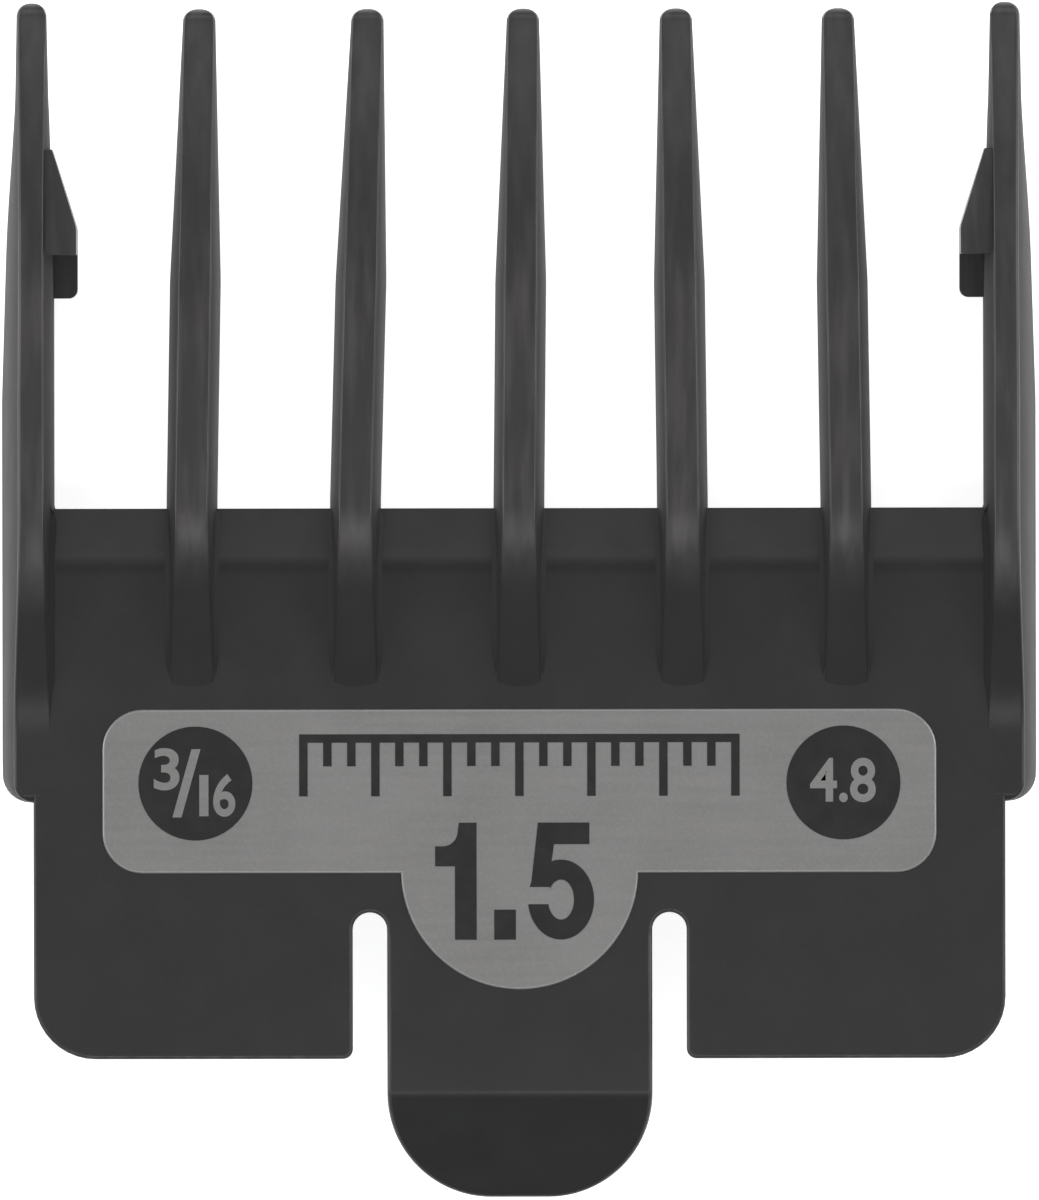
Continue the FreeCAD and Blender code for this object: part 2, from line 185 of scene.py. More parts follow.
# Tongue
TONGUE_EDGE_R = 0.2
TAB_CORNER_R = 5.2
BEND_R = 1.1
BEND_ANGLE = math.radians(30.0)
BEND_SLACK = 0.06  # what the rounded bend takes off the tab's reach
FLEX_CUT_REACH = 1.4  # how far past the hinge the tongue is finely divided
FLEX_CUT_GAP = 0.25
ROOT_CUT_MARGIN = 0.4

# Rounding of the edges of the hooks and the barb
HOOK_SOFT_R = 0.12
BARB_SOFT_R = 0.08

# Label
LABEL_CORNER_R = 2.0
LABEL_LOW_Y = -13.65
LABEL_EDGE_R = 0.1
LABEL_UNDER_R = 0.01
LOBE_R = 5.93
LOBE_Y = -13.55
PRINT_HALF_T = 0.004
FIGURE_BOLD = 0.06

# Pale figures on the discs, as (text, height, width share, x, y) from a disc's middle
FRACTION = (
    ("3", 2.85, 1.12, -1.42, 0.6),
    ("/", 4.7, 1.0, -0.45, -0.18),
    ("1", 2.85, 1.15, 0.42, -0.72),
    ("6", 2.85, 0.84, 1.43, -0.72),
)
DECIMAL = (("4.8", 3.0, 0.9, 0, 0),)

# How finely round shapes are divided
STATION_GAP = 0.4
SIDE_SHARES = [0.0, 0.25, 0.5, 0.75, 1.0]
FLARE_STEPS = 7
EDGE_STEPS = 6
CROWN_STEPS = 8
RIM_STEPS = 6
TIP_STEPS = 8
BEND_STEPS = 8
RAIL_END_STEPS = 8
TAB_CORNER_STEPS = 24
LOBE_STEPS = 64
SHARP_ANGLE = math.radians(40.0)

# Where a rim's rounding ends, the flat face starts this far inside it
RIM_LAND = 0.02
# Limits how far a sharp corner moves when its outline is inset
SHARP_CORNER_LIMIT = 0.35
# A rounded tip narrows by this share, and its last ring keeps at least the smallest share
TIP_NARROWING = 0.92
TIP_LAST_SHARE = 0.03
# Lengths shorter than this count as nothing
TINY = 0.001

# Camera and floor
LENS = 1000
SENSOR = 36
FRAME_HEIGHT = 60.0
CAMERA_X = 0.02
CAMERA_ROLL = math.radians(-0.1)
FLOOR_HALF = 900

# Soft lights, as (name, place, size, power)
LIGHTS = (
    ("left_soft", (-360, 60, 180), (240, 300), 0.8),
    ("right_soft", (360, 80, 210), (240, 300), 0.85),
    ("low_strip", (0, -172, 600), (420, 90), 0.52),
    ("far_soft", (0, 430, 520), (420, 260), 0.52),
)
LIGHT_TARGET = (0, 0, 5)

# Colours
NYLON_DARK = (0.0095, 0.0095, 0.0099, 1)
NYLON_PALE = (0.0125, 0.0123, 0.0125, 1)
NYLON_MOTTLE = (0.0175, 0.0172, 0.0168, 1)
# Paler nylon painted on tooth and rail walls as a painted fill light: the first low on a wall, the second
# near its top
NYLON_WALL_PAINTED_LIGHT = (0.036, 0.035, 0.034, 1)
NYLON_WALL_TOP_PAINTED_LIGHT = (0.017, 0.0166, 0.0162, 1)
# Pale rubbed nylon, also used as a painted highlight on crests and as painted light on the shaded hooks
NYLON_RUBBED_AND_LIT = (0.1, 0.09, 0.09, 1)
FOIL_DARK = (0.182, 0.178, 0.173, 1)
FOIL_PALE = (0.206, 0.201, 0.196, 1)
FOIL_STREAK = (0.26, 0.252, 0.244, 1)
FOIL_SPECK = (0.33, 0.32, 0.31, 1)
# Paler metallic rim of the label: its cut metal edge plus a painted highlight
FOIL_RIM_HIGHLIGHT = (0.46, 0.45, 0.44, 1)
INK_DARK = (0.009, 0.009, 0.009, 1)
INK_PALE = (0.015, 0.0145, 0.0145, 1)
FLOOR_DARK = (0.9, 0.9, 0.9, 1)
FLOOR_PALE = (0.93, 0.93, 0.93, 1)
WHITE = (1, 1, 1, 1)
SKY = (0.9, 0.92, 0.95, 1)


# ---------------------------------------------------------------- meshes

def new_object(name, verts, faces, wear_and_painted_light=None):
    """A smooth-shaded mesh object from vertices in millimetres."""
    mesh = bpy.data.meshes.new(name)
    mesh.from_pydata([tuple(c * M for c in v) for v in verts], [], faces)
    if wear_and_painted_light is not None:
        layer = mesh.attributes.new("wear_and_painted_light", "FLOAT", "POINT")
        layer.data.foreach_set("value", wear_and_painted_light)
    build = bmesh.new()
    build.from_mesh(mesh)
    bmesh.ops.remove_doubles(build, verts=build.verts, dist=1e-4 * M)
    bmesh.ops.recalc_face_normals(build, faces=build.faces)
    build.to_mesh(mesh)
    build.free()
    mesh.shade_smooth()
    mesh.set_sharp_from_angle(angle=SHARP_ANGLE)
    obj = bpy.data.objects.new(name, mesh)
    bpy.context.scene.collection.objects.link(obj)
    return obj


def rounded(corners, steps=10):
    """The points of a closed outline. A corner is (x, y) or, to round it, (x, y, radius)."""
    points = []
    count = len(corners)
    for i in range(count):
        corner = Vector(corners[i][:2])
        radius = corners[i][2] if len(corners[i]) > 2 else 0.0
        if radius <= 0:
            points.append(corner)
            continue
        to_last = (Vector(corners[i - 1][:2]) - corner).normalized()
        to_next = (Vector(corners[(i + 1) % count][:2]) - corner).normalized()
        half = to_last.angle(to_next) / 2
        start = corner + to_last * (radius / math.tan(half))
        centre = corner + (to_last + to_next).normalized() * (radius / math.sin(half))
        arm = start - centre
        turn = math.pi - 2 * half
        if to_last.cross(to_next) > 0:
            turn = -turn
        for k in range(steps + 1):
            a = turn * k / steps
            x = arm.x * math.cos(a) - arm.y * math.sin(a)
            y = arm.x * math.sin(a) + arm.y * math.cos(a)
            points.append(centre + Vector((x, y)))
    return points


def inset_ways(points, held):
    """For each outline point, the way an inset moves it. Edges in held stay where they are."""
    count = len(points)
    area = sum(points[i].cross(points[(i + 1) % count]) for i in range(count))
    ways = []
    for i in range(count):
        normals = []
        for a, b in ((i - 1, i), (i, (i + 1) % count)):
            edge = points[b] - points[a]
            if edge.length < TINY ** 2 or (a % count) in held:
                continue
            normal = Vector((-edge.y, edge.x)).normalized()
            normals.append(normal if area > 0 else -normal)
        way = sum(normals, Vector((0, 0)))
        if way.length > 0:
            way = way.normalized()
            way = way / max(SHARP_CORNER_LIMIT, way.dot(normals[0]))
        ways.append(way)
    return ways


def on_edge(place, start, end):
    """True if a point lies on the straight edge from start to end."""
    run = end - start
    if run.length < TINY:
        return False
    along = run.dot(place - start) / run.length_squared
    return 0 <= along <= 1 and (start + run * along - place).length < TINY


def slab(name, points, low, high, edge_r, held=(), cuts=(), warp=None, under_r=None):
    """A flat piece between two heights, with rounded rims.

    edge_r rounds the upper rim and under_r the lower one, which is the same unless it is given.
    held are the outline's edges that another piece hides: they are neither rounded nor worn. cuts
    are Y values where the piece is divided, so that warp, which moves each vertex, can bend it.
    """
    under_r = edge_r if under_r is None else under_r
    ways = inset_ways(points, set(held))
    turns = [math.pi / 2 * k / RIM_STEPS for k in range(RIM_STEPS + 1)]
    levels = [(under_r + RIM_LAND, low)]
    levels += [(under_r * (1 - math.sin(a)), low + under_r * (1 - math.cos(a))) for a in turns]
    levels += [(edge_r * (1 - math.cos(a)), high - edge_r * (1 - math.sin(a))) for a in turns]
    levels.append((edge_r + RIM_LAND, high))
    build = bmesh.new()
    wear_and_painted_light = build.verts.layers.float.new("wear_and_painted_light")
    rings = []
    for inset, z in levels:
        ring = []
        for point, way in zip(points, ways):
            moved = point + way * inset
            vert = build.verts.new((moved.x, moved.y, z))
            # Rounded rims are marked paler: wear on the nylon pieces, a painted highlight on the label
            near_rim = z > high - edge_r * RIM_WEAR_AND_HIGHLIGHT_SHARE or z < low + under_r * RIM_WEAR_AND_HIGHLIGHT_SHARE
            rounded_here = way.length > 0 and inset <= max(edge_r, under_r)
            vert[wear_and_painted_light] = 1.0 if near_rim and rounded_here else 0.0
            ring.append(vert)
        rings.append(ring)
    count = len(points)
    for lower, upper in zip(rings, rings[1:]):
        for i in range(count):
            j = (i + 1) % count
            build.faces.new((lower[i], lower[j], upper[j], upper[i]))
    build.faces.new(rings[-1])
    build.faces.new(list(reversed(rings[0])))
    build.normal_update()
    for y in cuts:
        geometry = build.verts[:] + build.edges[:] + build.faces[:]
        bmesh.ops.bisect_plane(build, geom=geometry, plane_co=(0, y, 0), plane_no=(0, 1, 0), dist=1e-5)
    bmesh.ops.triangulate(build, faces=[f for f in build.faces if len(f.verts) > 4])
    bmesh.ops.remove_doubles(build, verts=build.verts, dist=1e-5)
    bmesh.ops.recalc_face_normals(build, faces=build.faces)
    hidden_edges = [(points[i], points[(i + 1) % count]) for i in held]
    for vert in build.verts:
        if any(on_edge(vert.co.xy, start, end) for start, end in hidden_edges):
            vert[wear_and_painted_light] = 0.0
        co = warp(vert.co) if warp else vert.co
        vert.co = co * M
    mesh = bpy.data.meshes.new(name)
    build.to_mesh(mesh)
    build.free()
    mesh.shade_smooth()
    mesh.set_sharp_from_angle(angle=SHARP_ANGLE)
    obj = bpy.data.objects.new(name, mesh)
    bpy.context.scene.collection.objects.link(obj)
    return obj


def between(a, b, t):
    """The value a share t of the way from a to b, held at both ends."""
    return a + (b - a) * min(1.0, max(0.0, t))


def spaced(start, end, step, marks=()):
    """Values from start to end about step apart, which include each of the marks."""
    count = max(1, round((end - start) / step))
    values = {round(start + (end - start) * k / count, 5) for k in range(count + 1)}
    return sorted(values | {round(m, 5) for m in marks})


def rounding(into, radius):
    """How far a rounded end has still to come out, at a distance into it."""
    left = radius - min(max(into, 0.0), radius)
    return radius - math.sqrt(radius ** 2 - left ** 2)


def bent_line(y, corners):
    """Height at y of a line through (y, z, radius) corners, each rounded by its radius."""
    for i in range(1, len(corners) - 1):
        y0, z0 = corners[i - 1][:2]
        y1, z1, radius = corners[i]
        y2, z2 = corners[i + 1][:2]
        slope_in = (z1 - z0) / (y1 - y0)
        slope_out = (z2 - z1) / (y2 - y1)
        reach = radius * abs(math.tan((math.atan(slope_out) - math.atan(slope_in)) / 2))
        if abs(y - y1) < reach:
            t = (y - y1 + reach) / (2 * reach)
            start = z1 - slope_in * reach
            return start + 2 * reach * (slope_in * t + (slope_out - slope_in) * t * t / 2)
    for left, right in zip(corners, corners[1:]):
        if y <= right[0] or right is corners[-1]:
            return left[1] + (right[1] - left[1]) * (y - left[0]) / (right[0] - left[0])
    return corners[-1][1]


def plate_top_at(y):
    """Height of the plate's upper face, which slopes down at the front."""
    if y > PLATE_FRONT:
        return PLATE_TOP
    drop = PLATE_TOP - SEAT_Z - FRONT_EDGE_T
    return bent_line(y, [
        (HEEL_Y, PLATE_TOP, 0),
        (BEVEL_END, PLATE_TOP, BEVEL_R),
        (PLATE_FRONT, PLATE_TOP - drop, 0),
    ])


def crest_at(y, tip_y, bend, rear):
    """Height of a tooth's crest. bend is where it turns down, and rear is the line behind that."""
    return bent_line(y, rear + [bend, (NOSE_DROP_Y, CREST_Z, NOSE_DROP_R), (tip_y, NOSE_TOP_Z, 0)])


def bar_section(left, right, low_z, top_z, plate_z, low_r, edges, crown, flares, worn_and_lit):
    """One cross-section of a tooth or rail, as (x, z, wear and painted light) points.

    left and right give each side's x at a height. low_r rounds the foot, and crown is how far the
    crest's edges lie below its middle. For the left and right side, edges are the radii of the
    crest's edges, and flares those of the fillets that meet the plate at plate_z. The last argument
    sets the crest's paler colour, partly wear and partly a painted highlight; the walls are made
    matt and painted lighter as a painted fill light.
    """
    low_r = min(low_r, (top_z - low_z) * 0.2)
    shoulder = top_z - crown
    middle = (left(top_z) + right(top_z)) / 2

    def flare_x(z, flare):
        if flare <= 0:
            return 0.0
        rise = min(max(z - plate_z, 0.0), flare)
        return flare - math.sqrt(max(0.0, flare ** 2 - (flare - rise) ** 2))

    def wall_levels(flare, edge_r):
        start, end = low_z + low_r, shoulder - edge_r
        base = min(max(plate_z, start), end)
        top = min(base + flare, end)
        levels = [between(start, base, t) for t in SIDE_SHARES[:-1]]
        levels += [between(base, top, k / FLARE_STEPS) for k in range(FLARE_STEPS)]
        return levels + [between(top, end, t) for t in SIDE_SHARES]

    def half(side, out, edge_r, flare):
        points = []
        foot_x = side(low_z) + out * flare_x(low_z, flare)
        for k in range(EDGE_STEPS):
            a = math.pi / 2 * k / EDGE_STEPS
            x = foot_x - out * low_r * (1 - math.sin(a))
            points.append((x, low_z + low_r * (1 - math.cos(a)), FOOT_WEAR))
        for z in wall_levels(flare, edge_r):
            # Walls are matt and painted lighter as a painted fill light, lightest low on the wall and less
            # towards its top
            wear_and_painted_light = between(WALL_MATT_AND_PAINTED_LIGHT, WALL_TOP_MATT_AND_PAINTED_LIGHT, (z - low_z) / (shoulder - low_z))
            points.append((side(z) + out * flare_x(z, flare), z, wear_and_painted_light))
        edge_x = side(shoulder - edge_r)
        for k in range(1, EDGE_STEPS + 1):
            a = math.pi / 2 * k / EDGE_STEPS
            x = edge_x - out * edge_r * (1 - math.cos(a))
            points.append((x, shoulder - edge_r * (1 - math.sin(a)), worn_and_lit))
        crown_x = edge_x - out * edge_r
        for k in range(1, CROWN_STEPS):
            t = k / CROWN_STEPS
            points.append((between(crown_x, middle, t), top_z - crown * (1 - t) ** 2, worn_and_lit))
        return points

    right_half = half(right, 1, edges[1], flares[1])
    left_half = half(left, -1, edges[0], flares[0])
    return right_half + list(reversed(left_half))


def fillet_at(y, height):
    """Radius of the fillet between a side and the plate, which fades at the plate's front edge."""
    fade = between(0, 1, (PLATE_FRONT - y) / FLARE_FADE_RUN)
    return min(FLARE_R, max(0.0, height * FLARE_HEIGHT_SHARE)) * fade


def loft(name, stations, tip_r):
    """A closed piece through cross-sections (y, points). Its far end is rounded by tip_r."""
    end_y, end_ring = stations[-1]
    mid_x = sum(p[0] for p in end_ring) / len(end_ring)
    mid_z = (max(p[1] for p in end_ring) + min(p[1] for p in end_ring)) / 2
    for k in range(1, TIP_STEPS + 1):
        a = math.pi / 2 * k / TIP_STEPS
        share = max(TIP_LAST_SHARE, 1 - (1 - math.cos(a)) * TIP_NARROWING)
        ring = [(mid_x + (x - mid_x) * share, mid_z + (z - mid_z) * share, 1.0) for x, z, _ in end_ring]
        stations.append((end_y + tip_r * math.sin(a), ring))
    verts, wear_and_painted_light, faces = [], [], []
    count = len(end_ring)
    for y, ring in stations:
        for x, z, w in ring:
            verts.append((x, y, z))
            wear_and_painted_light.append(w)
    for s in range(len(stations) - 1):
        for i in range(count):
            j = (i + 1) % count
            a, b = s * count, (s + 1) * count
            faces.append((a + i, a + j, b + j, b + i))
    faces.append(tuple(range(count)))
    last = (len(stations) - 1) * count
    faces.append(tuple(last + i for i in reversed(range(count))))
    return new_object(name, verts, faces, wear_and_painted_light)


# ---------------------------------------------------------------- moulding

def covered(a, b):
    """Whether the outline's edge from a to b lies inside a rail or against the tongue's root."""
    middle = (a + b) / 2
    in_rail = abs(middle.x) > RAIL_IN and middle.y > RAIL_LAP_END_Y - TINY
    at_root = abs(a.y - ROOT_Y) < TINY and abs(b.y - ROOT_Y) < TINY
    return in_rail or at_root


def plate_piece():
    """The plate, with wings, slots and front bevel."""
    slot_out = TONGUE_HALF_W + SLOT_W
    slot_top = ROOT_Y + SLOT_W / 2
    round_end = SLOT_W / 2 - TINY
    lap_x = RAIL_IN + RAIL_LAP
    right = [
        (lap_x, PLATE_FRONT),
        (lap_x, RAIL_LAP_END_Y),
        (PLATE_HALF_W, RAIL_LAP_END_Y),
        (PLATE_HALF_W, HEEL_Y, WING_CORNER_R),
        (slot_out, HEEL_Y, SLOT_CORNER_R),
        (slot_out, slot_top, round_end),
        (TONGUE_HALF_W, slot_top, round_end),
        (TONGUE_HALF_W, ROOT_Y),
    ]
    left = [(-c[0],) + c[1:] for c in reversed(right)]
    points = rounded(right + left)
    held = [i for i, p in enumerate(points) if covered(p, points[(i + 1) % len(points)])]

    def warp(co):
        share = (co.z - SEAT_Z) / (PLATE_TOP - SEAT_Z)
        drop = PLATE_TOP - plate_top_at(co.y)
        lowered = between(0, 1, (share - BEVEL_LOW_SHARE) / (1 - BEVEL_LOW_SHARE))
        return Vector((co.x, co.y, co.z - drop * lowered))

    cuts = spaced(BEVEL_END - BEVEL_CUT_REACH, BEVEL_END + BEVEL_CUT_REACH, BEVEL_CUT_GAP)
    return slab("plate_skin", points, SEAT_Z, PLATE_TOP, PLATE_EDGE_R, held, cuts, warp)


def crest_wear_and_highlight(y, bend_y):
    """A crest's paler colour, partly wear and partly a painted highlight: full from just behind its bend
    forward, less on its dome, and none further down the slope behind bend_y.
    """
    on_flat = between(0, 1, (y - bend_y + CREST_WEAR_AND_HIGHLIGHT_LEAD) / CREST_WEAR_AND_HIGHLIGHT_RUN)
    return on_flat * between(1, DOME_WEAR_AND_HIGHLIGHT, (y - DOME_START_Y) / DOME_RUN)


def tooth_piece(name):
    """An inner tooth, with fillets where it meets the plate."""
    tip = node_end_x(name, max)
    root = node_end_x(name, min)
    bend = (CREST_BEND_Y, CREST_Z, CREST_BEND_R)
    stations = []
    marks = (PLATE_FRONT - 0.3, PLATE_FRONT - 0.01, PLATE_FRONT + 0.02)
    for y in spaced(MERGE_Y - ROOT_RUN, INNER_TIP_Y - TOOTH_TIP_R, STATION_GAP, marks):
        taper = (y - TAPER_Y) / (INNER_TIP_Y - TAPER_Y)
        base = between(TOOTH_HALF_W, TOOTH_TIP_HALF_W, taper)
        draft = base - between(TOOTH_CREST_HALF_W, TOOTH_TIP_CREST_HALF_W, taper)
        middle = between(root, tip, (y - LEAN_START) / (INNER_TIP_Y - LEAN_START))

        def half_w(z):
            return base - draft * (z - SEAT_Z) / (CREST_Z - SEAT_Z)

        top_z = crest_at(y, INNER_TIP_Y, bend, [(MERGE_Y, PLATE_TOP, 0)])
        plate_z = plate_top_at(y)
        low_z = SEAT_Z + TOOTH_FOOT_RISE if y < PLATE_FRONT else SEAT_Z
        flare = fillet_at(y, top_z - plate_z)
        section = bar_section(
            lambda z: middle - half_w(z), lambda z: middle + half_w(z), low_z, top_z, plate_z,
            TOOTH_FOOT_R, (CREST_EDGE_R, CREST_EDGE_R), CROWN_DROP, (flare, flare),
            crest_wear_and_highlight(y, CREST_BEND_Y),
        )
        stations.append((y, section))
    return loft(name + "_skin", stations, TOOTH_TIP_R)


def rail_section(y):
    """The right rail's cross-section at y."""
    outer_taper = (y - RAIL_TAPER_Y) / (TIP_Y - RAIL_TAPER_Y)
    inner_taper = (y - TAPER_Y) / (TIP_Y - TAPER_Y)
    into = y - RAIL_END_Y

    def outer(z):
        shift = OUTER_DRAFT * z / CREST_Z
        end_r = RAIL_END_R - shift / 2
        foot = between(RAIL_OUT, RAIL_TIP_OUT, outer_taper)
        return foot - shift * between(1, TIP_DRAFT_SHARE, outer_taper) - rounding(into, end_r)

    def inner(z):
        shift = INNER_DRAFT * max(0.0, z - SEAT_Z) / (CREST_Z - SEAT_Z)
        return between(RAIL_IN, RAIL_TIP_IN, inner_taper) + shift * between(1, TIP_DRAFT_SHARE, inner_taper)

    level = PLATE_TOP - RAIL_SINK
    rear = [(RAIL_END_Y, level, 0), (RAIL_MERGE_Y, level, RAIL_BEND_R / 2)]
    top_z = crest_at(y, TIP_Y, (RAIL_BEND_Y, CREST_Z, RAIL_BEND_R), rear) - rounding(into, RAIL_END_TOP_R)
    low_z = rounding(into, CHEEK_HEEL_R) + bent_line(y, [
        (RAIL_END_Y - 1, 0, 0),
        (CHEEK_FRONT_FOOT_Y, 0, CHEEK_FRONT_R),
        (CHEEK_FRONT_Y, SEAT_Z, CHEEK_NOSE_R),
        (TIP_Y + 1, SEAT_Z, 0),
    ])
    plate_z = plate_top_at(y)
    step = max(0.0, top_z - plate_z)
    inner_edge_r = min(CREST_EDGE_R, TINY + step * 0.5)
    crown = CROWN_DROP * between(0, 1, step)
    return bar_section(
        inner, outer, low_z, top_z, plate_z, RAIL_FOOT_R, (inner_edge_r, RAIL_EDGE_R), crown,
        (fillet_at(y, step), 0.0), crest_wear_and_highlight(y, RAIL_BEND_Y),
    )


def rail_piece(side):
    """A rail: an outer tooth and the cheek wall below it, in one skin."""
    out = 1 if side == "right" else -1
    turns = [math.pi / 2 * k / RAIL_END_STEPS for k in range(RAIL_END_STEPS + 1)]
    marks = [RAIL_END_Y + RAIL_END_R * (1 - math.cos(a)) for a in turns]
    stations = []
    for y in spaced(RAIL_END_Y, TIP_Y - RAIL_TIP_R, STATION_GAP, marks + [CHEEK_FRONT_Y]):
        stations.append((y, [(out * x, z, w) for x, z, w in rail_section(y)]))
    return loft(side + "_rail", stations, RAIL_TIP_R)


def tongue_piece():
    """The tongue in one skin, from its root in the plate to the bent thumb tab."""
    points = rounded([
        (-TONGUE_HALF_W, ROOT_Y),
        (-TONGUE_HALF_W, TAB_END_Y, TAB_CORNER_R),
        (TONGUE_HALF_W, TAB_END_Y, TAB_CORNER_R),
        (TONGUE_HALF_W, ROOT_Y),
    ], TAB_CORNER_STEPS)
    for point in points:
        if point.y < BEND_Y:
            point.y = BEND_Y - (BEND_Y - point.y + BEND_SLACK) / math.cos(BEND_ANGLE)
    held = [i for i, p in enumerate(points) if p.x > 0 and abs(p.y - ROOT_Y) < TINY]
    arc_half = BEND_R * BEND_ANGLE / 2
    start_y = BEND_Y + BEND_R * math.tan(BEND_ANGLE / 2)

    def warp(co):
        along = start_y - co.y
        if along <= 0:
            return co
        turned = min(along / (2 * arc_half), 1.0) * BEND_ANGLE
        rest = max(0.0, along - 2 * arc_half)
        depth = PLATE_TOP - co.z
        centre_z = PLATE_TOP - BEND_R
        y = start_y - (BEND_R - depth) * math.sin(turned) - rest * math.cos(turned)
        z = centre_z + (BEND_R - depth) * math.cos(turned) - rest * math.sin(turned)
        return Vector((co.x, y, z))

    cuts = spaced(HINGE_Y - FLEX_CUT_REACH, ROOT_Y - ROOT_CUT_MARGIN, FLEX_CUT_GAP)
    cuts += [start_y - 2 * arc_half * k / BEND_STEPS for k in range(BEND_STEPS + 1)]
    return slab("tongue_skin", points, TONGUE_UNDER, PLATE_TOP, TONGUE_EDGE_R, held, cuts, warp)


def softened(name, radius):
    """A CAD node kept as it is, with its edges rounded by a modifier."""
    obj = frame["nodes"][name]
    bevel = obj.modifiers.new("soft_edges", "BEVEL")
    bevel.width = radius * M
    bevel.segments = 3
    bevel.limit_method = "ANGLE"
    bevel.angle_limit = math.radians(30)
    bevel.harden_normals = False
    return obj


# ---------------------------------------------------------------- label

def label_outline():
    """The label's outline: a bar whose lower edge carries a round lobe."""
    half_w = label_high.x
    top = label_high.y
    meet = math.asin((LOBE_Y - LABEL_LOW_Y) / LOBE_R)
    corners = [
        (half_w, LABEL_LOW_Y, LABEL_CORNER_R),
        (half_w, top, LABEL_CORNER_R),
        (-half_w, top, LABEL_CORNER_R),
        (-half_w, LABEL_LOW_Y, LABEL_CORNER_R),
    ]
    points = rounded(corners)
    for k in range(LOBE_STEPS + 1):
        a = math.pi + meet + (math.pi - 2 * meet) * k / LOBE_STEPS
        points.append(Vector((LOBE_R * math.cos(a), LOBE_Y + LOBE_R * math.sin(a))))
    return points


def label_piece():
    """The foil label, with a rounded upper rim."""
    return slab("label_foil", label_outline(), label_low.z, label_high.z, LABEL_EDGE_R,
                under_r=LABEL_UNDER_R)


def figure_mesh(text, height, width_share, place):
    """One flat figure as a mesh. place is its middle, in millimetres."""
    curve = bpy.data.curves.new("figure", "FONT")
    curve.body = text
    curve.size = height * M
    curve.align_x = "CENTER"
    curve.align_y = "CENTER"
    curve.offset = FIGURE_BOLD * M
    curve.extrude = PRINT_HALF_T * M
    holder = bpy.data.objects.new("figure", curve)
    bpy.context.scene.collection.objects.link(holder)
    bpy.context.view_layer.update()
    mesh = bpy.data.meshes.new_from_object(holder)
    bpy.data.objects.remove(holder)
    for vert in mesh.vertices:
        vert.co.x *= width_share
        vert.co += place * M
    return mesh


def disc_figures(side, figures):
    """Pale figures on a printed disc. figures are (text, height, width share, x, y) from its middle."""
    low, high = node_box(side + "_size_disc")
    build = bmesh.new()
    for text, height, width_share, x, y in figures:
        place = Vector(((low.x + high.x) / 2 + x, (low.y + high.y) / 2 + y, high.z + PRINT_HALF_T))
        mesh = figure_mesh(text, height, width_share, place)
        build.from_mesh(mesh)
        bpy.data.meshes.remove(mesh)
    joined = bpy.data.meshes.new(side + "_disc_figures")
    build.to_mesh(joined)
    build.free()
    obj = bpy.data.objects.new(joined.name, joined)
    bpy.context.scene.collection.objects.link(obj)
    return obj


# ---------------------------------------------------------------- materials

def new_material(name):
    """An empty node material, its node tree, links and Principled shader."""
    material = bpy.data.materials.new(name)
    material.use_nodes = True
    tree = material.node_tree
    shader = tree.nodes["Principled BSDF"]
    return material, tree, shader


def add(tree, kind, **inputs):
    """A node of that kind, with the named inputs set."""
    node = tree.nodes.new(kind)
    for key, value in inputs.items():
        node.inputs[key.replace("_", " ")].default_value = value
    return node


def noise(tree, scale, detail=4.0, stretch=(1, 1, 1)):
    """A noise node in object coordinates, its scale in waves per metre."""
    place = add(tree, "ShaderNodeTexCoord")
    mapping = add(tree, "ShaderNodeMapping")
    mapping.inputs["Scale"].default_value = stretch
    node = add(tree, "ShaderNodeTexNoise", Scale=scale, Detail=detail)
    tree.links.new(place.outputs["Object"], mapping.inputs["Vector"])
    tree.links.new(mapping.outputs["Vector"], node.inputs["Vector"])
    return node


def ramp(tree, source, low, high, start=0.0, end=1.0):
    """Maps source from start..end to low..high."""
    node = add(tree, "ShaderNodeMapRange")
    node.inputs["From Min"].default_value = start
    node.inputs["From Max"].default_value = end
    node.inputs["To Min"].default_value = low
    node.inputs["To Max"].default_value = high
    tree.links.new(source, node.inputs["Value"])
    return node.outputs["Result"]


def mix_colour(tree, share, low, high):
    """A colour between two colours or sockets."""
    node = add(tree, "ShaderNodeMix")
    node.data_type = "RGBA"
    for socket, value in ((node.inputs[6], low), (node.inputs[7], high)):
        if isinstance(value, tuple):
            socket.default_value = value
        else:
            tree.links.new(value, socket)
    tree.links.new(share, node.inputs[0])
    return node.outputs[2]


def maths(tree, operation, a, b):
    """A maths node over two sockets or numbers."""
    node = add(tree, "ShaderNodeMath")
    node.operation = operation
    for i, value in enumerate((a, b)):
        if isinstance(value, (int, float)):
            node.inputs[i].default_value = value
        else:
            tree.links.new(value, node.inputs[i])
    return node.outputs[0]


def bump(tree, shader, height, strength, distance, below=None):
    """Adds surface relief from a height socket."""
    node = add(tree, "ShaderNodeBump", Strength=strength, Distance=distance)
    tree.links.new(height, node.inputs["Height"])
    if below:
        tree.links.new(below, node.inputs["Normal"])
    tree.links.new(node.outputs["Normal"], shader.inputs["Normal"])
    return node.outputs["Normal"]


